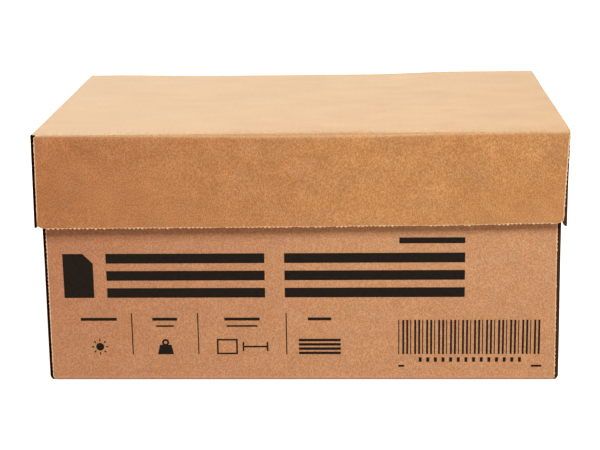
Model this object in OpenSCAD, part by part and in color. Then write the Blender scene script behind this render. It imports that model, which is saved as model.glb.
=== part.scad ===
// A case of copy paper: a corrugated tray and its telescoping lid, each folded from one blank,
// with two stacks of wrapped reams inside. The origin is on the floor under the middle of the case,
// the printed front faces -Y, and the reams lie with their long side along Y.

/* [Reams] */
// Width of a sheet, which lies along the front of the case
sheet_w = 216; // [148:1:300]
// Length of a sheet, which runs from front to back
sheet_l = 279; // [210:1:420]
// Height of one wrapped ream
ream_h = 42.6; // [20:0.1:60]
// Radius of the wrapper where it turns round the long edges of the sheets
wrap_r = 1.2; // [0.5:0.1:3]
// Thickness of one folded layer of wrapper at the ends of a ream
wrap_t = 0.15; // [0.05:0.01:0.2]
// How far the end flaps of the wrapper reach over the end of a ream
wrap_flap = 25; // [22:1:29]

/* [Board] */
// Thickness of the corrugated board
board_t = 3; // [2:0.1:5]
// Thickness of each flat liner of the board
liner_t = 0.4; // [0.2:0.05:0.6]
// Thickness of the fluted sheet between the liners
medium_t = 0.3; // [0.2:0.05:0.4]
// Distance from one flute to the next
flute_pitch = 6.5; // [5:0.1:9]
// How far the open flutes are modelled into a cut edge
flute_depth = 3; // [1:0.5:6]
// How far the fold of an end wall shows past the raw edge of the front wall
fold_show = 2.2; // [1:0.1:2.5]

/* [Tray] */
// Play between a stack of reams and the end wall
end_play = 2.5; // [1:0.5:8]
// Play between the ends of the reams and the glued tabs
side_play = 1.5; // [1:0.1:6]
// Gap between the stacks of reams
stack_gap = 1; // [0.5:0.5:6]
// Space between the top reams and the rim of the tray
headroom = 1.5; // [0.5:0.1:20]
// Length of the tabs that join the end walls of the tray to its front and back
tray_tab_l = 70; // [30:5:100]

/* [Lid] */
// Outer height of the lid
lid_h = 80; // [40:1:150]
// Play between the lid and the tray on every side
lid_play = 1; // [0.5:0.1:4]
// Gap between the rim of the tray and the top panel that rests on it
lid_seat = 0.3; // [0.1:0.1:1]
// Length of the tabs that join the end walls of the lid to its front and back
lid_tab_l = 60; // [30:5:100]

/* [Corners] */
// Gap between a glued tab and the panel that it stands over
tab_gap = 4; // [1:0.5:10]
// Distance from the fold of an end wall to the gap under its tabs
tab_root = 2; // [1:0.5:6]
// How much lower the free end of a tab is than its folded end
tab_taper = 5; // [1:0.5:12]
// Length of the cut at each free corner of a front or back wall
nick_l = 4.5; // [1:0.5:6]
// Height of the cut at each free corner of a front or back wall
nick_h = 2.2; // [0.5:0.1:4]

/* [Print] */
// Thickness of the ink
ink_t = 0.15; // [0.1:0.05:0.3]
// Distance from the left edge of the front wall to the print
left_margin = 14.8; // [8:0.1:20]
// Distance from the print to the right edge of the front wall
right_margin = 12.3; // [8:0.1:20]
// Width of the mark before the heading
mark_w = 26; // [16:0.5:30]
// Gap between the mark and the heading
mark_gap = 11.4; // [6:0.1:20]
// Gap between the two halves of the heading
word_gap = 17; // [10:0.5:24]
// How far the heading stops short of the right edge of the print
heading_inset = 66.8; // [40:0.1:80]
// Height of the heading's lower edge above the floor
heading_z = 76; // [70:1:84]
// Height of the heading
heading_h = 39.5; // [30:0.5:42]
// Height of one bar of the heading
heading_bar = 8.6; // [4:0.1:9]
// Width of the short line over the heading
tag_w = 56; // [30:1:80]
// Height of the lower edge of the row of small pictures
row_z = 24.2; // [22:0.1:26]
// Height of the small pictures
picture_h = 14; // [10:0.5:16]
// Height of the rules between the pictures
rule_h = 37.7; // [20:0.1:44]
// Thickness of the rules between the pictures
rule_t = 0.9; // [0.6:0.1:1.5]
// Gap between the columns of pictures and the block of upright bars
code_gap = 39.2; // [20:0.1:60]
// Width of the block of upright bars
code_w = 123.6; // [90:0.1:130]
// Height of the block of upright bars
code_h = 31.1; // [20:0.1:40]
// Width of the narrowest upright bar
code_bar = 0.85; // [0.5:0.05:1]

/* [Hidden] */
$fn = 48;
overlap = 1;

stack_names = ["left", "right"];
stacks = len(stack_names);
reams_in_stack = 5;
function ream_name(stack, level) = str("ream_", stack_names[stack], "_", level);

fold_r = board_t;
stack_pitch = sheet_w + stack_gap;
tray_l = stacks * sheet_w + (stacks - 1) * stack_gap + 2 * (end_play + board_t);
tray_w = sheet_l + 2 * side_play + 4 * board_t;
tray_h = board_t + reams_in_stack * ream_h + headroom;
lid_l = tray_l + 2 * (lid_play + board_t);
lid_w = tray_w + 2 * (lid_play + 2 * board_t);
lid_top = tray_h + lid_seat + board_t;

kraft = [0.76, 0.55, 0.36];
kraft_lid = [0.78, 0.58, 0.37];
ink = [0.13, 0.10, 0.09];
wrapper = [0.93, 0.93, 0.90];

// A flat span whose two lower corners are rounded by the fold of the board
module folded_outline(span, depth) {
    translate([-span / 2, fold_r]) square([span, depth - fold_r]);
    translate([fold_r - span / 2, 0]) square([span - 2 * fold_r, fold_r]);
    for (side = [-1, 1])
        translate([side * (span / 2 - fold_r), fold_r]) circle(fold_r);
}

// Board folded up at both ends of a span
module board_channel(span, leg) {
    difference() {
        folded_outline(span, leg);
        translate([board_t - span / 2, board_t]) square([span - 2 * board_t, leg]);
    }
}

// The cell on one side of the fluted sheet, seen along the flutes: wide at its liner, narrow at the crest
module flute_cell() {
    wide = 0.375 * flute_pitch - medium_t;
    narrow = 0.125 * flute_pitch - medium_t / 2;
    crest = board_t - liner_t - medium_t;
    polygon([[-wide, liner_t], [wide, liner_t], [narrow, crest], [-narrow, crest]]);
}

// Open ends of the flutes over a length of cut edge, with cells on both sides of the fluted sheet
module flute_row(length) {
    count = floor(length / flute_pitch);
    for (i = [0:count - 1])
        translate([(i - (count - 1) / 2) * flute_pitch, 0]) flute_cell();
    for (i = [0:count - 2])
        translate([(i - (count - 2) / 2) * flute_pitch, board_t]) mirror([0, 1]) flute_cell();
}

// The base panel with the front and back walls that fold up from it
module base_and_long_walls(l, w, h) {
    wall_l = l - 2 * fold_show;
    difference() {
        rotate([90, 0, 90]) linear_extrude(wall_l, center = true) board_channel(w, h);
        // Cuts at the free corners of both walls
        for (side = [-1, 1])
            scale([side, 1, 1])
                rotate([90, 0, 0]) linear_extrude(w + 2 * overlap, center = true)
                    polygon([
                        [wall_l / 2 - nick_l, h], [wall_l / 2, h - nick_h],
                        [wall_l / 2 + overlap, h - nick_h], [wall_l / 2 + overlap, h + overlap],
                        [wall_l / 2 - nick_l, h + overlap]
                    ]);
    }
}

// One end wall with the two tabs that fold in behind the front and back walls
module end_wall(l, w, h, tab_l) {
    fold_x = l / 2 - board_t;
    intersection() {
        difference() {
            linear_extrude(h) translate([l / 2, 0]) rotate(90) board_channel(w - 2 * board_t, tab_l);
            // The tabs stand clear of the base panel, and their rims slope
            rotate([90, 0, 0]) linear_extrude(w, center = true) {
                translate([l / 2 - tab_l - overlap, -overlap])
                    square([tab_l - board_t - tab_root + overlap, board_t + tab_gap + overlap]);
                polygon([
                    [fold_x, h], [l / 2 - tab_l - overlap, h - tab_taper],
                    [l / 2 - tab_l - overlap, h + overlap], [fold_x, h + overlap]
                ]);
            }
        }
        rotate([90, 0, 0]) linear_extrude(w, center = true) folded_outline(l, h + overlap);
    }
}

// A tray folded from one blank of corrugated board, open at the top, standing on z = 0.
// The flutes run from the front wall through the base to the back wall.
module folded_tray(l, w, h, tab_l) {
    rim_l = l - 2 * (fold_show + nick_l);
    difference() {
        union() {
            base_and_long_walls(l, w, h);
            for (side = [-1, 1]) scale([side, 1, 1]) end_wall(l, w, h, tab_l);
        }
        // Open flutes along the rims of the front and back walls
        for (side = [-1, 1])
            scale([1, side, 1])
                translate([0, -w / 2, h - flute_depth])
                    linear_extrude(flute_depth + overlap) flute_row(rim_l);
        // The board of the end walls is cut along a flute
        for (side = [-1, 1])
            translate([side * (l - board_t) / 2, 0, h])
                cube([board_t - 2 * liner_t, w - 6 * board_t, flute_depth], center = true);
    }
}

module tray() {
    color(kraft) folded_tray(tray_l, tray_w, tray_h, tray_tab_l);
}

module lid() {
    color(kraft_lid)
        translate([0, 0, lid_top]) mirror([0, 0, 1]) folded_tray(lid_l, lid_w, lid_h, lid_tab_l);
}

// Section of a wrapped ream, with its base at y = 0
module ream_section() {
    translate([-sheet_w / 2, wrap_r]) square([sheet_w, ream_h - 2 * wrap_r]);
    translate([wrap_r - sheet_w / 2, 0]) square([sheet_w - 2 * wrap_r, ream_h]);
    for (x = [wrap_r - sheet_w / 2, sheet_w / 2 - wrap_r], z = [wrap_r, ream_h - wrap_r])
        translate([x, z]) circle(wrap_r, $fn = 24);
}

// A flap of the wrapper at the end of a ream: its corners are folded in at 45 degrees
module wrap_flap_outline() {
    half_w = sheet_w / 2 - wrap_r;
    polygon([
        [-half_w, wrap_r], [half_w, wrap_r],
        [half_w - wrap_flap, wrap_r + wrap_flap], [wrap_flap - half_w, wrap_r + wrap_flap]
    ]);
}

// The folded end of a wrapper: side tucks, then the upper flap, then the lower flap over both
module wrap_end() {
    half_w = sheet_w / 2 - wrap_r;
    for (side = [-1, 1])
        scale([side, 1, 1])
            translate([half_w - wrap_flap, 0, wrap_r]) cube([wrap_flap, wrap_t, ream_h - 2 * wrap_r]);
    translate([0, 2 * wrap_t, ream_h]) scale([1, 1, -1])
        rotate([90, 0, 0]) linear_extrude(2 * wrap_t) wrap_flap_outline();
    translate([0, 3 * wrap_t, 0])
        rotate([90, 0, 0]) linear_extrude(3 * wrap_t) wrap_flap_outline();
}

module ream() {
    color(wrapper) {
        rotate([90, 0, 0]) linear_extrude(sheet_l, center = true) ream_section();
        for (side = [-1, 1])
            scale([1, side, 1]) translate([0, sheet_l / 2, 0]) wrap_end();
    }
}

// One ream in its place in the tray
module placed_ream(stack, level) {
    translate([(stack - (stacks - 1) / 2) * stack_pitch, 0, board_t + (level - 1) * ream_h]) ream();
}

// A bar of ink, given by its middle and its size
module bar(x, z, w, h) {
    translate([x - w / 2, z - h / 2]) square([w, h]);
}

// Three bars, one above the other, for one half of the heading
module heading_half(x_from, x_to) {
    step = (heading_h - heading_bar) / 2;
    for (i = [0:2])
        translate([x_from, heading_z + i * step]) square([x_to - x_from, heading_bar]);
}

// A sheet with a turned corner
module sheet_mark(w, h) {
    turn = w / 3;
    polygon([[0, 0], [w, 0], [w, h - turn], [w - turn, h], [0, h]]);
}

// A disc with rays round it
module sun_picture(size) {
    translate([0, size / 2]) {
        circle(size / 4);
        for (ray = [0:7])
            rotate(ray * 45) translate([size * 0.36, -size / 28]) square([size * 0.16, size / 14]);
    }
}

// A balance weight with a knob
module weight_picture(size) {
    polygon([[-size / 2, 0], [size / 2, 0], [size * 0.36, size * 0.62], [-size * 0.36, size * 0.62]]);
    translate([0, size * 0.78]) difference() {
        circle(size * 0.22);
        circle(size * 0.1);
    }
}

// The outline of a sheet beside a measuring line
module size_picture(size) {
    line = size / 10;
    difference() {
        translate([-size * 1.6, 0]) square([size * 1.3, size]);
        translate([-size * 1.6 + line, line]) square([size * 1.3 - 2 * line, size - 2 * line]);
    }
    translate([0, size / 2 - line / 2]) square([size * 1.6, line]);
    for (x = [0, size * 1.6 - line]) translate([x, size * 0.2]) square([line, size * 0.6]);
}

// A pile of sheets seen from the edge
module pile_picture(size) {
    for (i = [0:3])
        translate([-size * 1.3, i * size * 0.28]) square([size * 2.6, size * 0.16]);
}

// Upright bars whose widths follow a simple rule, so that they code nothing,
// over a row of dots and two small marks
module bar_block() {
    count = floor(code_w / (4 * code_bar));
    for (i = [0:count - 1])
        translate([i * code_w / count, 0]) square([code_bar * (1 + i * i % 3), code_h]);
    dots = 14;
    dot_w = 3 * code_bar;
    dots_inset = code_w / 7;
    dots_pitch = (code_w - 2 * dots_inset - dot_w) / (dots - 1);
    for (i = [0:dots - 1])
        translate([dots_inset + i * dots_pitch, -2.8 * dot_w]) square([dot_w, 1.6 * dot_w]);
    translate([0, -4.6 * dot_w]) square([2 * dot_w, 0.7 * dot_w]);
    translate([code_w - 3.5 * dot_w, -4.6 * dot_w]) square([3.5 * dot_w, 0.7 * dot_w]);
}

// The fields of ink on the front, laid out between the edges of the front wall
module print_outline() {
    left = fold_show - tray_l / 2 + left_margin;
    right = tray_l / 2 - fold_show - right_margin;
    // The mark and the two halves of the heading, with a short line over its end
    heading_from = left + mark_w + mark_gap;
    heading_to = right - heading_inset;
    first_w = 0.47 * (heading_to - heading_from - word_gap);
    translate([left, heading_z]) sheet_mark(mark_w, heading_h);
    heading_half(heading_from, heading_from + first_w);
    heading_half(heading_from + first_w + word_gap, heading_to);
    translate([heading_to - tag_w, heading_z + heading_h + 1.5 * tag_w / 10]) square([tag_w, tag_w / 11]);
    // Four columns, the third one wider, each with a picture under a short line
    column = (right - code_w - code_gap - left) / 13;
    centres = [for (share = [1.5, 4.5, 8, 11.5]) left + share * column];
    for (share = [3, 6, 10])
        bar(left + share * column, row_z + rule_h / 2, rule_t, rule_h);
    label_w = [for (share = [2.25, 1.55, 2.2, 1.45]) share * picture_h];
    for (i = [0:3])
        bar(centres[i], row_z + 2.3 * picture_h, label_w[i], picture_h / 5.5);
    bar(centres[1], row_z + 1.85 * picture_h, 1.1 * picture_h, picture_h / 10);
    bar(centres[2], row_z + 1.85 * picture_h, 1.9 * picture_h, picture_h / 10);
    translate([centres[0], row_z]) sun_picture(picture_h);
    translate([centres[1], row_z]) weight_picture(picture_h);
    translate([centres[2], row_z]) size_picture(picture_h);
    translate([centres[3], row_z]) pile_picture(picture_h);
    translate([right - code_w, row_z]) bar_block();
}

module front_print() {
    color(ink)
        translate([0, -tray_w / 2, 0]) rotate([90, 0, 0]) linear_extrude(ink_t) print_outline();
}

tray();
front_print();
lid();
for (stack = [0:stacks - 1], level = [1:reams_in_stack])
    placed_ream(stack, level);
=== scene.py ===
import math

import bmesh
import bpy
from mathutils import Matrix, Vector, noise


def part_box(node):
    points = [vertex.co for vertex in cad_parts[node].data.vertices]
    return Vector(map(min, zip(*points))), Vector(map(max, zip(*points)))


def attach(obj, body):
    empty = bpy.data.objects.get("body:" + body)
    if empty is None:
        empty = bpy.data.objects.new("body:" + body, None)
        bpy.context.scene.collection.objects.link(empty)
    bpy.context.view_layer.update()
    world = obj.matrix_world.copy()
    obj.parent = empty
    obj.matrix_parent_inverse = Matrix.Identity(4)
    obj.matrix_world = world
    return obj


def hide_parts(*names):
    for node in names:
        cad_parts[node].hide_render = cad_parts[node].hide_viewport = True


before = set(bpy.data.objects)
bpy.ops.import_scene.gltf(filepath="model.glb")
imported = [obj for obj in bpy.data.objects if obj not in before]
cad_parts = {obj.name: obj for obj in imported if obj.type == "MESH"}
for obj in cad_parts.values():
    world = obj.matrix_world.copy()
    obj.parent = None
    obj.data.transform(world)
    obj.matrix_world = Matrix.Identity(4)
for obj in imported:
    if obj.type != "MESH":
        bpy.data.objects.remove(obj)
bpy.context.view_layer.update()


# The board of the carton. Two flat liners of brown kraft paper hold a fluted sheet between them.
# Each half of the carton is die-cut as one blank, creased, folded up and glued at its tabs,
# so its rims show the open flutes and its folds are soft and a little worn. The creases also
# carry a painted highlight, and the upright corner folds carry painted shade.
BOARD = 0.003
LINER = 0.0004
MEDIUM = 0.00025
FLUTE = 0.0065
FOLD_SHOW = 0.0037
NICK = (0.0045, 0.0024)
CREASED_CORNER = 0.0040
CREASED_BEVEL = 0.45
TAB_GAP = 0.004
TAB_ROOT = 0.002
TAB_TAPER = 0.005
TAB_STEP = 0.0025
PANEL_STEP = 0.011
FOLD_STEPS = 7
WORN_EDGE = 0.0010
# Width of the bands where the crease marks (use and painted highlight) and the corner marks
# (painted shade) fade out.
FOLD_MARK_BAND = 0.0016
WELD = 0.00008
TOUCH = 0.00001
TOOTH_STEP = 0.0019
TOOTH = 0.00075
FLUTE_POINTS = 8
# Marks on the mesh: cut edges, creases (use and painted highlight), corner folds (painted shade)
# and the run of the flutes.
WEAR_AND_PAINTED_LIGHT_MARKS = ("edge", "crease", "corner", "run")


def ease(value, start, end):
    """Rises smoothly from 0 at start to 1 at end."""
    share = max(0.0, min(1.0, (value - start) / (end - start)))
    return share * share * (3 - 2 * share)


def folded_row(half, low, rim, radius):
    """Points down a wall, round its fold, across the panel and up the opposite wall."""
    wall_steps = math.ceil((rim - low - radius) / PANEL_STEP)
    panel_steps = math.ceil(2 * (half - radius) / PANEL_STEP)
    wall = [
        (-half, rim + (low + radius - rim) * i / wall_steps) for i in range(wall_steps)
    ]
    turns = [math.pi / 2 * i / FOLD_STEPS for i in range(FOLD_STEPS)]
    fold = [
        (-half + radius * (1 - math.cos(turn)), low + radius * (1 - math.sin(turn)))
        for turn in turns
    ]
    panel = [
        ((half - radius) * (2 * i / panel_steps - 1), low) for i in range(panel_steps + 1)
    ]
    far_side = [(-a, b) for a, b in reversed(wall + fold)]
    return wall + fold + panel + far_side


def settle(bm):
    """Puts the points, edges and faces in one fixed order, so that each run gives one result."""
    def place(verts):
        """One number for a place: its X, Y and Z in steps of 4 micrometres, 17 bits each."""
        number = 0
        for distance in sum((vert.co for vert in verts), Vector()) / len(verts):
            number = number * 2 ** 17 + round(distance / 4e-6 + 0.3) + 2 ** 16
        return number

    bm.verts.sort(key=lambda vert: place((vert,)))
    bm.edges.sort(key=lambda edge: place(edge.verts))
    bm.faces.sort(key=lambda face: place(face.verts))


def pulled_sheet(row, travel, steps):
    """Pulls a row of points along a line: a flat grid whose columns take the row's places."""
    bm = bmesh.new()
    for layer in WEAR_AND_PAINTED_LIGHT_MARKS:
        bm.verts.layers.float.new(layer)
    columns = len(row) - 1
    bmesh.ops.create_grid(bm, x_segments=columns, y_segments=steps, size=0.5)
    for vert in bm.verts:
        start = Vector(row[round((vert.co.x + 0.5) * columns)])
        vert.co = start + Vector(travel) * (round((vert.co.y + 0.5) * steps) / steps)
    return bm


def cut(bm, place, normal, away=False):
    """Cuts the sheet along a plane, and takes away what lies past it if asked."""
    bmesh.ops.bisect_plane(
        bm, geom=bm.verts[:] + bm.edges[:] + bm.faces[:], dist=1e-7,
        plane_co=place, plane_no=normal, clear_outer=away, clear_inner=False,
    )


def thicken(bm, thickness, outward):
    """Gives a sheet its thickness on the side away from the outward direction."""
    settle(bm)
    bmesh.ops.remove_doubles(bm, verts=bm.verts[:], dist=WELD)
    bmesh.ops.dissolve_degenerate(bm, edges=bm.edges[:], dist=WELD)
    bm.normal_update()
    sample = max(bm.faces, key=lambda face: abs(face.normal.dot(outward)) * face.calc_area())
    sign = 1 if sample.normal.dot(outward) < 0 else -1
    depth = bm.verts.layers.float_vector.new("depth")
    for vert in bm.verts:
        vert[depth] = vert.normal * sign * thickness
    made = bmesh.ops.extrude_face_region(bm, geom=bm.faces[:], use_keep_orig=True)
    for vert in made["geom"]:
        if isinstance(vert, bmesh.types.BMVert):
            vert.co += vert[depth]
    bm.verts.layers.float_vector.remove(depth)
    settle(bm)


def add_to(target, bm):
    """Moves a finished sheet into the mesh of the whole blank."""
    mesh = bpy.data.meshes.new("sheet")
    bm.to_mesh(mesh)
    bm.free()
    target.from_mesh(mesh)
    bpy.data.meshes.remove(mesh)


def saw(bm, on_line, tooth):
    """Leaves small, uneven teeth along a cut edge, as the toothed cutting rule does."""
    for cuts in range(math.ceil(PANEL_STEP / TOOTH_STEP), 0, -1):
        edges = [
            edge for edge in bm.edges
            if edge.is_boundary and round(edge.calc_length() / TOOTH_STEP) == cuts + 1
            and all(map(on_line, edge.verts))
        ]
        bmesh.ops.subdivide_edges(bm, edges=edges, cuts=cuts)
    row = [vert for vert in bm.verts if vert.is_boundary and on_line(vert)]
    row.sort(key=lambda vert: (round(vert.co.y, 3), vert.co.x + vert.co.z))
    for count, vert in enumerate(row):
        ragged = noise.noise(vert.co * 400)
        uneven = max(0.1, 0.6 + 1.1 * noise.noise(vert.co * 25) + ragged)
        vert.co += Vector(tooth) * ((1 if count % 2 else -1) * uneven + 0.5 * ragged)


def mark_wear_and_painted_light(bm, size, run_axis, trough, inner):
    """Notes on each point how near it is to a cut edge, a crease or an upright corner fold."""
    length, width, height = size
    edge, crease, corner, run = (bm.verts.layers.float[name] for name in WEAR_AND_PAINTED_LIGHT_MARKS)
    for vert in bm.verts:
        x, y, z = abs(vert.co.x), abs(vert.co.y), vert.co.z
        cut_edge = z > BOARD or (trough and y > width / 2 - BOARD + TOUCH)
        vert[edge] = 1.0 if vert.is_boundary and cut_edge else 0.0
        if trough and 0.9 * height < z < height:
            vert[edge] *= 0.4
        vert[run] = vert.co[run_axis] / FLUTE
        # The crease mark: folds paler from use and from a painted highlight.
        if trough:
            at_fold = z < BOARD + TOUCH and y > width / 2 - BOARD - TOUCH
            vert[crease] = 1.0 if at_fold else 0.0
        else:
            # The corner mark picks out the upright corner folds for painted shade, weaker where the
            # fold meets the end wall.
            deep = length / 2 - x
            at_long_wall = y > width / 2 - 2 * BOARD - TOUCH
            in_fold = not inner and at_long_wall and deep < BOARD + TAB_ROOT + TOUCH
            vert[corner] = 0.4 + 0.6 * ease(deep, 0, 0.0005) if in_fold else 0.0
            vert[crease] = 1.0 if z < BOARD + TOUCH else 0.0


def trough_liner(size, inner, shows):
    """One liner of the base and the two long walls, with nicked corners and toothed edges.

    Shows holds, for the left and the right end, how far the walls stop short of the fold
    at the crease and at the rim.
    """
    length, width, height = size
    offset = BOARD - LINER if inner else 0
    half = length / 2
    row = [
        (-half, a, b)
        for a, b in folded_row(width / 2 - offset, offset, height, BOARD - offset)
    ]
    bm = pulled_sheet(row, (2 * half, 0, 0), math.ceil(2 * half / PANEL_STEP))
    for side, (at_crease, at_rim) in zip((-1, 1), shows):
        lean = (side * height, 0, at_rim - at_crease)
        cut(bm, (side * (half - at_crease - WORN_EDGE), 0, 0), lean)
        cut(bm, (side * (half - at_crease), 0, 0), lean, away=True)
        nick = (side * NICK[1], 0, NICK[0])
        cut(bm, (side * (half - at_rim - WORN_EDGE), 0, height - NICK[1] - WORN_EDGE), nick)
        cut(bm, (side * (half - at_rim), 0, height - NICK[1]), nick, away=True)
        cut(bm, (0, side * (width / 2 - BOARD - FOLD_MARK_BAND), 0), (0, 1, 0))
    cut(bm, (0, 0, height - WORN_EDGE), (0, 0, 1))
    cut(bm, (0, 0, BOARD + FOLD_MARK_BAND), (0, 0, 1))
    panel_half = half - BOARD
    for vert in bm.verts:
        end, out = math.copysign(1, vert.co.x), abs(vert.co.x)
        at_crease = shows[end > 0][0]
        if abs(vert.co.y) < width / 2 - BOARD - TOUCH:
            vert.co.x = end * (panel_half if out > panel_half - BOARD / 4 else out)
        elif vert.co.z < CREASED_CORNER:
            bevel = CREASED_BEVEL if at_crease > 0.5 * FOLD_SHOW else 0
            vert.co.x = end * min(out, half - at_crease - bevel * (CREASED_CORNER - vert.co.z))
    saw(bm, lambda vert: vert.co.z > height - TOUCH, (0, 0, TOOTH))
    saw(bm, lambda vert: BOARD < vert.co.z < height - 2 * NICK[1], (0.5 * TOOTH, 0, 0))
    mark_wear_and_painted_light(bm, size, 0, True, inner)
    thicken(bm, LINER, Vector((0, 0, -1)))
    return bm


def end_liner(size, inner, tab):
    """One liner of the right end wall and its two tabs, which fold in behind the long walls."""
    length, width, height = size
    offset = BOARD - LINER if inner else 0
    row = [
        (length / 2 - b, a, 0)
        for a, b in folded_row(width / 2 - BOARD - offset, offset, tab, BOARD - offset)
    ]
    bm = pulled_sheet(row, (0, 0, height), math.ceil(height / PANEL_STEP))
    for share in (0.03, 0.12, 0.28, 0.5, 0.75, 1):
        cut(bm, (0, 0, BOARD * share), (0, 0, 1))
    cut(bm, (0, 0, BOARD + FOLD_MARK_BAND), (0, 0, 1))
    cut(bm, (0, 0, BOARD + TAB_GAP), (0, 0, 1))
    cut(bm, (0, 0, height - WORN_EDGE), (0, 0, 1))
    for side in (-1, 1):
        cut(bm, (0, side * (width / 2 - 2 * BOARD - FOLD_MARK_BAND), 0), (0, 1, 0))
    root = length / 2 - BOARD - TAB_ROOT
    cut(bm, (root, 0, 0), (1, 0, 0))
    middles = [(face, face.calc_center_median()) for face in bm.faces]
    under_tab = [
        face for face, middle in middles if middle.x < root and middle.z < BOARD + TAB_GAP
    ]
    bmesh.ops.delete(bm, geom=under_tab, context="FACES")
    mark_wear_and_painted_light(bm, size, 2, False, inner)
    fold_x = length / 2 - BOARD
    for vert in bm.verts:
        along = max(0.0, (fold_x - vert.co.x) / (tab - BOARD))
        step = TAB_STEP * ease(length / 2 - vert.co.x, 0.5 * BOARD, BOARD + TAB_ROOT)
        vert.co.z *= 1 - (step + along * TAB_TAPER) / height
        if vert.co.z < BOARD and vert.co.x > fold_x:
            reach = math.sqrt(BOARD ** 2 - (BOARD - vert.co.z) ** 2)
            vert.co.x = fold_x + (vert.co.x - fold_x) / BOARD * reach
    thicken(bm, LINER, Vector((1, 0, 0)))
    return bm


def fluted_sheet(corner, wave, span, run, steps, inward, shears=()):
    """The wavy sheet of one wall: waves along one way, pulled along the other, then sheared."""
    swing = (BOARD - 2 * LINER - MEDIUM) / 2
    samples = math.ceil(span / FLUTE * FLUTE_POINTS)
    row = []
    for i in range(samples + 1):
        place = span * i / samples
        rise = BOARD / 2 + swing * math.cos(2 * math.pi * place / FLUTE)
        row.append(Vector(corner) + Vector(wave) * place + Vector(inward) * rise)
    bm = pulled_sheet(row, run, steps)
    for place, normal in shears:
        cut(bm, place, normal, away=True)
    for vert in bm.verts:
        vert[bm.verts.layers.float["edge"]] = 0.6
    thicken(bm, MEDIUM, -Vector(inward))
    return bm


def end_of_blank(size, tab):
    """The right end wall with its two tabs, as liners and wavy sheets."""
    length, width, height = size
    end = bmesh.new()
    for layer in WEAR_AND_PAINTED_LIGHT_MARKS:
        end.verts.layers.float.new(layer)
    for inner in (False, True):
        add_to(end, end_liner(size, inner, tab))
    add_to(end, fluted_sheet(
        (length / 2, 2 * BOARD - width / 2, 2 * BOARD), (0, 0, 1), height - 2.1 * BOARD,
        (0, width - 4 * BOARD, 0), 12, (-1, 0, 0),
    ))
    tab_height = height - TAB_TAPER - TAB_STEP - BOARD - 1.3 * TAB_GAP
    for side in (-1, 1):
        add_to(end, fluted_sheet(
            (length / 2 - tab, side * (width / 2 - BOARD), BOARD + 1.2 * TAB_GAP), (0, 0, 1),
            tab_height, (tab - 2 * BOARD, 0, 0), 3, (0, -side, 0),
        ))
    return end


def folded_blank(size, tab, shows):
    """The board of one half of the carton, folded up, open at the top and standing on z = 0."""
    length, width, height = size
    blank = end_of_blank(size, tab)
    right_end = blank.verts[:] + blank.edges[:] + blank.faces[:]
    bmesh.ops.mirror(blank, geom=right_end, axis="X", merge_dist=0)
    for inner in (False, True):
        add_to(blank, trough_liner(size, inner, shows))
    shears = []
    for end, (at_crease, at_rim) in zip((-1, 1), shows):
        crease_x, rim_x = end * (length / 2 - at_crease), end * (length / 2 - at_rim)
        shears.append(((crease_x, 0, 0), (end * height, 0, at_rim - at_crease)))
        shears.append(((rim_x, 0, height - NICK[1]), (end * NICK[1], 0, NICK[0])))
    for side in (-1, 1):
        add_to(blank, fluted_sheet(
            (-length / 2, side * width / 2, height - 0.1 * BOARD), (1, 0, 0), length,
            (0, 0, 2 * BOARD - height), 6, (0, -side, 0), shears,
        ))
    return blank


def tighten(vert, plane_a, plane_b, axis_a, axis_b, share):
    """Makes a soft fold sharper, by drawing its points toward the corner where two planes meet."""
    a, b = plane_a - vert.co[axis_a], plane_b - vert.co[axis_b]
    if abs(a) < BOARD + TOUCH and abs(b) < BOARD + TOUCH:
        vert.co[axis_a] = plane_a - a * share
        vert.co[axis_b] = plane_b - b * share


def face_outward(bm):
    """Turns the faces of every closed sheet in the mesh outward, by the sign of its volume."""
    bmesh.ops.recalc_face_normals(bm, faces=bm.faces[:])
    bm.normal_update()
    unseen = set(bm.faces)
    while unseen:
        sheet, waiting = [], [unseen.pop()]
        while waiting:
            face = waiting.pop()
            sheet.append(face)
            near = {other for edge in face.edges for other in edge.link_faces} & unseen
            unseen -= near
            waiting.extend(near)
        middle = sheet[0].calc_center_median()
        volume = sum(
            (face.calc_center_median() - middle).dot(face.normal) * face.calc_area()
            for face in sheet
        )
        if volume < 0:
            bmesh.ops.reverse_faces(bm, faces=sheet)


def finished(name, bm, body, materials):
    """Turns a finished mesh into a piece that rides on a body, smooth across its soft folds."""
    face_outward(bm)
    corner = bm.verts.layers.float.get("corner")
    # Faces on the upright corner folds take the second material, their painted shade.
    for face in bm.faces if corner else ():
        face.material_index = 1 if min(vert[corner] for vert in face.verts) > 0.3 else 0
    mesh = bpy.data.meshes.new(name)
    bm.to_mesh(mesh)
    bm.free()
    mesh.shade_smooth()
    mesh.set_sharp_from_angle(angle=math.radians(40))
    for material in materials:
        mesh.materials.append(material)
    piece = bpy.data.objects.new(name, mesh)
    bpy.context.scene.collection.objects.link(piece)
    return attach(piece, body)


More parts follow.
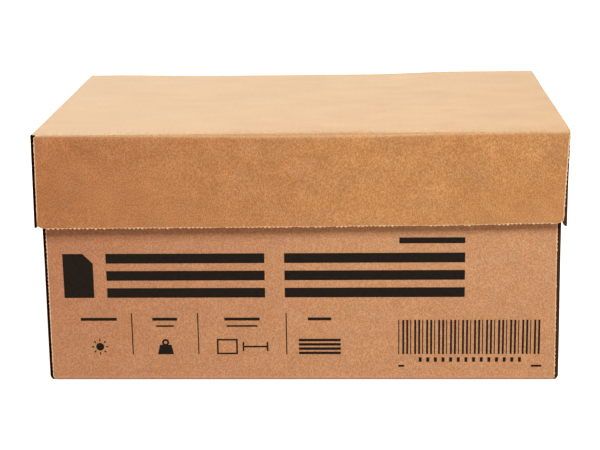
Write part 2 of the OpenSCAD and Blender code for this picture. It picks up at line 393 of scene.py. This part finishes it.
class Nodes:
    """Short names for the nodes that a material is made of."""

    def __init__(self, name):
        self.material = bpy.data.materials.new(name)
        self.material.use_nodes = True
        self.tree = self.material.node_tree
        self.shader = self.tree.nodes["Principled BSDF"]

    def node(self, kind, **settings):
        """Adds one node."""
        made = self.tree.nodes.new("ShaderNode" + kind)
        for name, value in settings.items():
            setattr(made, name, value)
        return made

    def link(self, source, target):
        """Joins an output to an input."""
        self.tree.links.new(source, target)

    def place(self, scale):
        """Where a point lies on the piece, in metres times the scale."""
        mapping = self.node("Mapping")
        mapping.inputs["Scale"].default_value = scale
        self.link(self.node("TexCoord").outputs["Object"], mapping.inputs["Vector"])
        return mapping.outputs["Vector"]

    def noise(self, scale, detail=4.0, rough=0.55):
        """Soft random variation. The scale is waves per metre along X, Y and Z."""
        made = self.node("TexNoise")
        made.inputs["Scale"].default_value = 1.0
        made.inputs["Detail"].default_value = detail
        made.inputs["Roughness"].default_value = rough
        self.link(self.place(scale), made.inputs["Vector"])
        return made.outputs["Fac"]

    def along(self, axis):
        """How far along one axis a point lies, in metres."""
        axes = self.node("SeparateXYZ")
        self.link(self.place((1, 1, 1)), axes.inputs["Vector"])
        return axes.outputs[axis]

    def attribute(self, name):
        """One of the marks that the mesh carries: pale cut edges, creases pale from use and a
        painted highlight, corner folds in painted shade, and the run of the flutes.
        """
        return self.node("Attribute", attribute_name=name).outputs["Fac"]

    def spread(self, value, low, high, out_low=0.0, out_high=1.0):
        """Stretches a value from one range to another, and keeps it there."""
        made = self.node("MapRange", clamp=True)
        made.inputs["From Min"].default_value = low
        made.inputs["From Max"].default_value = high
        made.inputs["To Min"].default_value = out_low
        made.inputs["To Max"].default_value = out_high
        self.link(value, made.inputs["Value"])
        return made.outputs["Result"]

    def maths(self, operation, first, second):
        """Works out one number from two."""
        made = self.node("Math", operation=operation)
        for socket, value in zip(made.inputs, (first, second)):
            if isinstance(value, (int, float)):
                socket.default_value = value
            else:
                self.link(value, socket)
        return made.outputs["Value"]

    def mix(self, share, first, second, blend="MIX"):
        """Mixes two colours by a share."""
        made = self.node("Mix", data_type="RGBA", blend_type=blend)
        sockets = (made.inputs["Factor"], made.inputs[6], made.inputs[7])
        for socket, value in zip(sockets, (share, first, second)):
            if isinstance(value, (int, float)):
                socket.default_value = value
            elif isinstance(value, tuple):
                socket.default_value = (*value, 1)
            else:
                self.link(value, socket)
        return made.outputs[2]

    def bump(self, height, distance, before=None):
        """Raises the surface by a height, on top of the bumps that came before."""
        made = self.node("Bump")
        made.inputs["Distance"].default_value = distance
        self.link(height, made.inputs["Height"])
        if before:
            self.link(before, made.inputs["Normal"])
        return made.outputs["Normal"]


# Painted sheen on the lid's top panel: the heights where it starts and is full, and its colours,
# paler at the left.
TOP_SHEEN_FULL = 0.2208
TOP_SHEEN_FROM = 0.2172
TOP_SHEEN_FROM_AT_LEFT = 0.2192
TOP_SHEEN_KRAFT = ((0.567, 0.309, 0.107), (0.618, 0.368, 0.144))
TOP_SHEEN_AT_LEFT = (0.60, 0.375, 0.19)
SCUFFS = ((0.79, 0.72, 0.65), (1.14, 1.12, 1.08))
TINTS = ((1.013, 0.987, 0.94), (0.987, 1.013, 1.06))
PATCHES = ((0.93, 0.925, 0.92), (1.07, 1.075, 1.08))
CLOUDS = ((0.93, 0.90, 0.88), (1.05, 1.08, 1.08))
# Painted shade: darker and redder towards the left.
LEFT_PAINTED_SHADE = (0.81, 0.67, 0.67)
# Crease colour: partly worn paper, partly a painted highlight.
CREASE_WEAR_AND_HIGHLIGHT = (0.70, 0.52, 0.38)
CUT_EDGE = (0.92, 0.63, 0.39)


def kraft_board(name, base, dark, light, crease_wear_and_highlight, cloudy):
    """Kraft liner: a cloudy brown with short fibres, faint flute lines in painted shade, pale cut
    edges, and folds pale from use and from a painted highlight.

    Above a set height, on the lid's top panel, it is painted paler and yellower as a painted sheen,
    most at the left. Below that it is painted darker and redder towards the left as painted shade,
    less so near the bottom.
    """
    n = Nodes(name)
    clouds = n.spread(n.noise((45, 60, 70), 4, 0.6), 0.3, 0.7)
    mottle = n.spread(n.noise((200, 200, 200), 4, 0.7), 0.3, 0.7)
    tint = n.spread(n.noise((50, 55, 60), 3, 0.6), 0.36, 0.64)
    patches = n.spread(n.noise((38, 50, 44), 4, 0.7), 0.36, 0.64)
    grain = n.spread(n.noise((1080, 900, 720), 3, 0.75), 0.43, 0.57)
    specks = n.spread(n.noise((1300, 1300, 1300), 2, 0.6), 0.64, 0.72)

    # The mask of the painted sheen: the top panel, with a sharper start at the left.
    at_left = n.spread(n.along("X"), -0.20, -0.10, 1, 0)
    elsewhere = n.maths("SUBTRACT", 1, at_left)
    top_sheen_sharp = n.spread(n.along("Z"), TOP_SHEEN_FROM_AT_LEFT, TOP_SHEEN_FULL)
    top_sheen_soft = n.spread(n.along("Z"), TOP_SHEEN_FROM, TOP_SHEEN_FULL)
    top_sheen_sharp = n.maths("MULTIPLY", top_sheen_sharp, at_left)
    top_sheen_soft = n.maths("MULTIPLY", top_sheen_soft, elsewhere)
    top_sheen = n.maths("ADD", top_sheen_sharp, top_sheen_soft)
    # Painted shade: darker and redder towards the left, not on the top panel, and less near the
    # bottom.
    to_left = n.spread(n.along("X"), -0.24, 0.04, 1, 0)
    left_shade = n.maths("MULTIPLY", to_left, n.spread(top_sheen, 0, 1, 1, 0))
    left_shade = n.maths("MULTIPLY", left_shade, n.spread(n.along("Z"), 0, 0.13, 0.55, 1))

    cloudy_base = [tuple(share * part for share, part in zip(cloud, base)) for cloud in CLOUDS]
    colour = n.mix(clouds, *cloudy_base)
    fibres = n.maths("MULTIPLY", n.spread(clouds, 0, 1, 0.75, 1), grain)
    colour = n.mix(n.maths("MULTIPLY", mottle, 0.10 + 0.06 * cloudy), colour, dark)
    colour = n.mix(fibres, n.mix(0.6, colour, dark), n.mix(0.8, colour, light))
    colour = n.mix(1.0, colour, n.mix(tint, *TINTS), "MULTIPLY")
    colour = n.mix(cloudy, colour, n.mix(patches, *PATCHES), "MULTIPLY")
    colour = n.mix(left_shade, colour, LEFT_PAINTED_SHADE, "MULTIPLY")

    # Painted sheen: the top panel paler and yellower, most at the left.
    sheen_colour = n.mix(n.spread(n.noise((26, 34, 34), 3, 0.5), 0.3, 0.7), *TOP_SHEEN_KRAFT)
    sheen_colour = n.mix(n.spread(n.along("X"), -0.22, 0.05, 0.45, 0), sheen_colour, TOP_SHEEN_AT_LEFT)
    colour = n.mix(n.maths("MULTIPLY", top_sheen, 0.8), colour, sheen_colour)
    # Scuffs on the lid's top near its front edge: a random lighter and darker tone.
    blotches = n.spread(n.noise((560, 210, 560), 3, 0.7), 0.38, 0.62)
    near_front = n.spread(n.along("Y"), -0.153, -0.122, 1, 0)
    near_front = n.maths("MULTIPLY", near_front, n.spread(patches, 0, 0.8, 0.35, 1))
    tone_shift = n.maths("MULTIPLY", top_sheen, near_front)
    colour = n.mix(tone_shift, colour, n.mix(blotches, *SCUFFS), "MULTIPLY")
    colour = n.mix(n.maths("MULTIPLY", specks, 0.6), colour, tuple(0.6 * part for part in dark))

    # Painted shade along the flutes, and their faint bumps.
    waves = n.maths("SINE", n.maths("MULTIPLY", n.attribute("run"), 2 * math.pi), 0)
    colour = n.mix(n.spread(waves, -1, 1, 0, 0.03), colour, dark)
    # Creases paler, partly from use and partly as a painted highlight.
    fold_lightening = n.maths("MULTIPLY", n.attribute("crease"), n.spread(mottle, 0, 1, crease_wear_and_highlight, 0.3 * crease_wear_and_highlight))
    colour = n.mix(fold_lightening, colour, CREASE_WEAR_AND_HIGHLIGHT)
    colour = n.mix(n.spread(n.attribute("edge"), 0.1, 0.6, 0, 0.95), colour, CUT_EDGE)
    n.link(colour, n.shader.inputs["Base Color"])
    n.shader.inputs["Roughness"].default_value = 0.55
    n.shader.inputs["Specular IOR Level"].default_value = 0.5
    normal = n.bump(waves, 0.00001)
    normal = n.bump(mottle, 0.00006, normal)
    n.link(n.bump(grain, 0.00004, normal), n.shader.inputs["Normal"])
    return n.material


def shaded_fold(name):
    """The outside of an upright corner fold, painted a near black brown as shade where it turns in.
    """
    n = Nodes(name)
    # Painted shade: a near black brown, a little uneven.
    blotches = n.spread(n.noise((500, 500, 200), 4, 0.7), 0.35, 0.7)
    colour = n.mix(blotches, (0.010, 0.003, 0.001), (0.030, 0.011, 0.005))
    # The painted shade is less dark on the folds at the right.
    tone_shift = n.spread(n.along("X"), 0, 0.2, 0, 0.8)
    colour = n.mix(tone_shift, colour, (0.070, 0.030, 0.015))
    # The painted shade turns to a lighter brown where the fold meets the end wall.
    fold_lightening = n.spread(n.attribute("corner"), 0.4, 0.7, 0.35, 0)
    n.link(n.mix(fold_lightening, colour, (0.30, 0.13, 0.05)), n.shader.inputs["Base Color"])
    n.shader.inputs["Roughness"].default_value = 1.0
    n.shader.inputs["Specular IOR Level"].default_value = 0.0
    n.link(n.bump(blotches, 0.00008), n.shader.inputs["Normal"])
    return n.material


# The material of painted shade for the upright corner folds.
corner_fold = shaded_fold("corner_fold")


# The tray, the lower half of the carton: long walls that fold up from the base, and end walls with
# tabs glued behind them. The paper presses its ends out, and the lid has flattened its rim's teeth.
TRAY_TAB = 0.070
TRAY_SWELL = 0.0009
SWELL_REACH = 0.62
TOOTH_FLATTENED = 0.9
# How strongly the tray's creases are paler from use and from a painted highlight.
TRAY_CREASE_WEAR_AND_HIGHLIGHT = 0.35
TRAY_CLOUDY = 0.2

tray_low, tray_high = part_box("tray")
tray_shows = ((FOLD_SHOW, FOLD_SHOW), (FOLD_SHOW, FOLD_SHOW))
tray_mesh = folded_blank(tray_high - tray_low, TRAY_TAB, tray_shows)
swell_height = SWELL_REACH * tray_high.z
for vert in tray_mesh.verts:
    low_down = ease(swell_height - vert.co.z, 0, swell_height)
    vert.co.x *= 1 + TRAY_SWELL / tray_high.x * low_down
    vert.co.z -= TOOTH_FLATTENED * max(0, vert.co.z - tray_high.z)
tray_kraft = kraft_board(
    "tray_kraft",
    base=(0.60, 0.307, 0.146), dark=(0.43, 0.185, 0.073), light=(0.74, 0.415, 0.227),
    crease_wear_and_highlight=TRAY_CREASE_WEAR_AND_HIGHLIGHT, cloudy=TRAY_CLOUDY,
)
tray = finished("tray_board", tray_mesh, "tray", (tray_kraft, corner_fold))
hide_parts("tray")


# The print on the tray's front: plain fields of one dark brown ink, flat on the paper.
# The ink soaks in, so the fibres still show in it, and it is a little uneven and matt.
ink = Nodes("brown_ink")
ink_patches = ink.spread(ink.noise((300, 300, 300), 5, 0.65), 0.35, 0.7)
ink_fibres = ink.spread(ink.noise((2600, 2600, 700), 3, 0.6), 0.62, 0.75)
ink_colour = ink.mix(ink_patches, (0.006, 0.004, 0.003), (0.014, 0.008, 0.005))
ink_colour = ink.mix(ink.maths("MULTIPLY", ink_fibres, 0.25), ink_colour, (0.16, 0.09, 0.05))
ink.link(ink_colour, ink.shader.inputs["Base Color"])
ink.shader.inputs["Roughness"].default_value = 0.55
ink.shader.inputs["Specular IOR Level"].default_value = 0.2
ink.link(ink.bump(ink_patches, 0.00003), ink.shader.inputs["Normal"])
front_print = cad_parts["front_print"]
front_print.data.materials.clear()
front_print.data.materials.append(ink.material)


# The reams: ten packs of paper in plain white wrappers, in two stacks of five.
# Each wrapper is rolled round its pack, folded in at both ends like a parcel and glued down.
WRAP_EDGE = 0.0014
WRAP_STEP = 0.009
WRAP_DIP = 0.0005
WRAP_PAPER = 0.0002
WRAP_SOFT = 0.012
FLAP_REACH = (0.55, 0.64)
FLAP_NARROWING = 0.8
SEED_STEP = 3.7


def wrapped_pack(low, high, seed):
    """A pack of sheets in its wrapper, a little soft at the edges and dented on its broad sides."""
    middle, size = (low + high) / 2, high - low
    bm = bmesh.new()
    block = Matrix.Translation(middle) @ Matrix.Diagonal((*size, 1))
    bmesh.ops.create_cube(bm, size=1, matrix=block)
    bmesh.ops.bevel(
        bm, geom=bm.edges[:], offset=WRAP_EDGE, segments=4, profile=0.5, affect="EDGES",
        offset_type="OFFSET", clamp_overlap=True,
    )
    settle(bm)
    for axis in (0, 1):
        normal = Vector((1 - axis, axis, 0))
        steps = math.floor(size[axis] / WRAP_STEP)
        for i in range(1, steps):
            cut(bm, low + normal * size[axis] * i / steps, normal)
    for vert in bm.verts:
        from_edge = min(vert.co[axis] - low[axis] for axis in (0, 1))
        from_edge = min(from_edge, *(high[axis] - vert.co[axis] for axis in (0, 1)))
        soft = noise.noise(Vector((vert.co.x * 22, vert.co.y * 14, seed)))
        soft *= ease(from_edge, 0, WRAP_SOFT)
        ripple = noise.noise(Vector((vert.co.x * 90, vert.co.y * 60, seed + 5)))
        ripple *= ease(0.05 - from_edge, 0, 0.04)
        dip = max(0, WRAP_DIP * (0.45 + 0.8 * soft + 0.35 * ripple))
        inward = -1 if vert.co.z > middle.z else 1
        vert.co.z += inward * dip * ease(from_edge, -0.001, 0.004)
    return bm


def end_flap(bm, low, high, end, top):
    """A glued flap at one end of the pack: a thin sheet that narrows away from its fold."""
    half_width, height = (high.x - low.x) / 2 - WRAP_EDGE, high.z - low.z
    fold = high.z - WRAP_EDGE if top else low.z + WRAP_EDGE
    reach = height * (-FLAP_REACH[1] if top else FLAP_REACH[0])
    face = high.y if end > 0 else low.y
    for vert in bmesh.ops.create_cube(bm, size=1)["verts"]:
        across, out, away = vert.co.x * 2, vert.co.y + 0.5 + (1 if top else 0), vert.co.z + 0.5
        narrowed = half_width - abs(reach) * away * FLAP_NARROWING
        vert.co = (
            (low.x + high.x) / 2 + across * narrowed,
            face + end * WRAP_PAPER * out, fold + reach * away,
        )


wrap = Nodes("white_wrapper")
wrap_clouds = wrap.spread(wrap.noise((60, 60, 60), 3), 0.3, 0.7)
wrap_creases = wrap.spread(wrap.noise((90, 160, 300), 4, 0.7), 0.3, 0.7)
wrap_colour = wrap.mix(wrap_clouds, (0.61, 0.61, 0.59), (0.67, 0.67, 0.655))
wrap.link(wrap_colour, wrap.shader.inputs["Base Color"])
wrap.shader.inputs["Roughness"].default_value = 0.42
wrap.link(wrap.bump(wrap_creases, 0.0004), wrap.shader.inputs["Normal"])
for count, name in enumerate(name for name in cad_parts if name.startswith("ream_")):
    ream_low, ream_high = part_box(name)
    pack = wrapped_pack(ream_low, ream_high, count * SEED_STEP)
    for end in (-1, 1):
        for top in (False, True):
            end_flap(pack, ream_low, ream_high, end, top)
    wrapped = finished(name + "_wrapped", pack, "tray", (wrap.material,))
    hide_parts(name)


# The lid, the upper half, made like the tray and turned over it, with smaller tabs. Its skirt
# flares a little at the left, its rim isn't level, and its top is bowed at the back right.
LID_TAB = 0.060
RIGHT_CREASE_SHOW = 0.0008
LID_FLARE = 0.0012
FRONT_FLARE = ((-0.22, 0.0009), (0.0, 0.0), (0.22, -0.0008))
LID_BOW = (0.0014, 0.0021)
LID_BULGE = (0.0011, 0.0014)
LID_SAG = 0.0009
CREASE_TIGHTNESS = 0.5
CREASE_MIDDLE = 0.01
# How strongly the lid's creases are paler from use and from a painted highlight.
LID_CREASE_WEAR_AND_HIGHLIGHT = 0.12
LID_CLOUDY = 1.0
RIM_LEVELS = (
    (-0.21, -0.0009), (-0.10, -0.0006), (0.02, -0.0003), (0.07, 0.0002), (0.14, 0.0003),
    (0.19, 0.0014), (0.23, 0.0015),
)
END_HANG = -0.0018


def level(table, place):
    """Reads a height off a table of places and heights."""
    for (start, low), (end, high) in zip(table, table[1:]):
        if place < end:
            return low + (high - low) * max(0.0, place - start) / (end - start)
    return table[-1][1]


lid_low, lid_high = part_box("lid")
lid_size = lid_high - lid_low
lid_shows = ((FOLD_SHOW, FOLD_SHOW), (RIGHT_CREASE_SHOW, FOLD_SHOW))
lid_mesh = folded_blank(lid_size, LID_TAB, lid_shows)
for vert in lid_mesh.verts:
    x, y, down = vert.co.x, vert.co.y, vert.co.z / lid_size.z
    tighter = CREASE_TIGHTNESS * ease(abs(x - CREASE_MIDDLE), 0.04, 0.20)
    tighten(vert, -lid_high.y, 0, 1, 2, 1 - tighter)
    for end in (lid_low.x, lid_high.x):
        tighten(vert, end, 0, 0, 2, 1 - CREASE_TIGHTNESS)
    near_top = 1 - ease(down, 0, 0.6)
    back_right = ease(x, 0.06, 0.15) * ease(y, -0.03, 0.15)
    back_left = ease(-x, 0.11, 0.20) * ease(y, 0, 0.15)
    sagging = ease(0.12 - abs(x - CREASE_MIDDLE), 0, 0.08) * ease(-y, 0.1475, 0.1535)
    lift = near_top * (LID_BOW[1] * back_right + LID_BOW[0] * back_left - LID_SAG * sagging)
    front = ease(-y, 0.10, lid_high.y - BOARD)
    lift += front * down * (level(RIM_LEVELS, x) if x < lid_high.x - 0.9 * FOLD_SHOW else END_HANG)
    vert.co.z = lid_high.z - vert.co.z + lift
    left_bulge = LID_BULGE[0] * ease(-x, 0.10, lid_high.x) * ease(y, -0.13, 0.02)
    right_bulge = LID_BULGE[1] * ease(x, 0.10, lid_high.x) * (0.25 + 0.75 * ease(-y, -0.09, 0.03))
    right_bulge *= 1 - 0.7 * ease(-y, 0.138, 0.153)
    vert.co.y -= front * down * level(FRONT_FLARE, x)
    vert.co.x += near_top * (right_bulge - left_bulge) - LID_FLARE * down * ease(-x, 0, lid_high.x)
lid_kraft = kraft_board(
    "lid_kraft",
    base=(0.565, 0.269, 0.092), dark=(0.390, 0.147, 0.038), light=(0.705, 0.373, 0.150),
    crease_wear_and_highlight=LID_CREASE_WEAR_AND_HIGHLIGHT, cloudy=LID_CLOUDY,
)
lid = finished("lid_board", lid_mesh, "lid", (lid_kraft, corner_fold))
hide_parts("lid")


# The stand: a pale floor under the carton, with soft light from above and from the front.
# The floor is wide enough to fill the picture behind the carton.
FLOOR_RADIUS = 9
FLOOR_DROP = 0.0004
FLOOR_GLOW = 0.9

floor_mesh = bmesh.new()
bmesh.ops.create_circle(
    floor_mesh, cap_ends=True, segments=96, radius=FLOOR_RADIUS,
    matrix=Matrix.Translation((0, 0, -FLOOR_DROP)),
)
floor_data = bpy.data.meshes.new("floor")
floor_mesh.to_mesh(floor_data)
floor_mesh.free()
floor = bpy.data.objects.new("floor", floor_data)
bpy.context.scene.collection.objects.link(floor)
pale = Nodes("pale_floor")
pale.shader.inputs["Base Color"].default_value = (0.62, 0.53, 0.45, 1)
pale.shader.inputs["Roughness"].default_value = 0.9
pale.shader.inputs["Emission Color"].default_value = (1, 1, 1, 1)
pale.link(
    pale.maths("MULTIPLY", pale.node("LightPath").outputs["Is Camera Ray"], FLOOR_GLOW),
    pale.shader.inputs["Emission Strength"],
)
floor.data.materials.append(pale.material)


def softbox(name, place, aim, size, watts, colour=(1, 1, 1)):
    """A wide soft light that points at a spot."""
    light = bpy.data.lights.new(name, "AREA")
    light.shape = "RECTANGLE"
    light.size, light.size_y = size
    light.energy = watts
    light.color = colour
    made = bpy.data.objects.new(name, light)
    made.location = place
    made.rotation_euler = (Vector(aim) - Vector(place)).to_track_quat("-Z", "Y").to_euler()
    bpy.context.scene.collection.objects.link(made)


softbox("key_light", (0.70, -2.10, 2.72), (0, 0, 0.15), (1.25, 1.25), 112)
softbox("back_light", (-0.8, 3.2, 1.5), (0, 0, 0.2), (4.0, 2.2), 92, (0.97, 1.0, 0.93))

world = bpy.data.worlds.new("studio")
world.use_nodes = True
sky, join = world.node_tree.nodes, world.node_tree.links.new
sky["Background"].inputs["Color"].default_value = (1, 0.77, 0.55, 1)
sky["Background"].inputs["Strength"].default_value = 0.2
backdrop = sky.new("ShaderNodeBackground")
backdrop.inputs["Color"].default_value = (1, 1, 1, 1)
seen = sky.new("ShaderNodeLightPath")
either = sky.new("ShaderNodeMixShader")
join(seen.outputs["Is Camera Ray"], either.inputs["Fac"])
join(sky["Background"].outputs[0], either.inputs[1])
join(backdrop.outputs[0], either.inputs[2])
join(either.outputs[0], sky["World Output"].inputs["Surface"])
bpy.context.scene.world = world
bpy.context.scene.view_settings.view_transform = "Standard"


# The camera: a long lens, a little above the lid and to the right of the middle.
# Its place was worked out from the edges of the carton in the photograph.
LENS_PER_WIDTH = 1521.7 / 600
SENSOR_WIDTH = 36
CAMERA_PLACE = (0.0588, -1.3968, 0.4723)
camera_right = Vector((0.9990, 0.0424, -0.0162)).normalized()
camera_back = -Vector((-0.0451, 0.9655, -0.2564)).normalized()
camera_up = camera_back.cross(camera_right)
camera_data = bpy.data.cameras.new("camera")
camera_data.sensor_width = SENSOR_WIDTH
camera_data.lens = LENS_PER_WIDTH * SENSOR_WIDTH
camera = bpy.data.objects.new("camera", camera_data)
turn = Matrix((camera_right, camera_up, camera_back)).transposed().to_4x4()
camera.matrix_world = Matrix.Translation(CAMERA_PLACE) @ turn
bpy.context.scene.collection.objects.link(camera)
bpy.context.scene.camera = camera
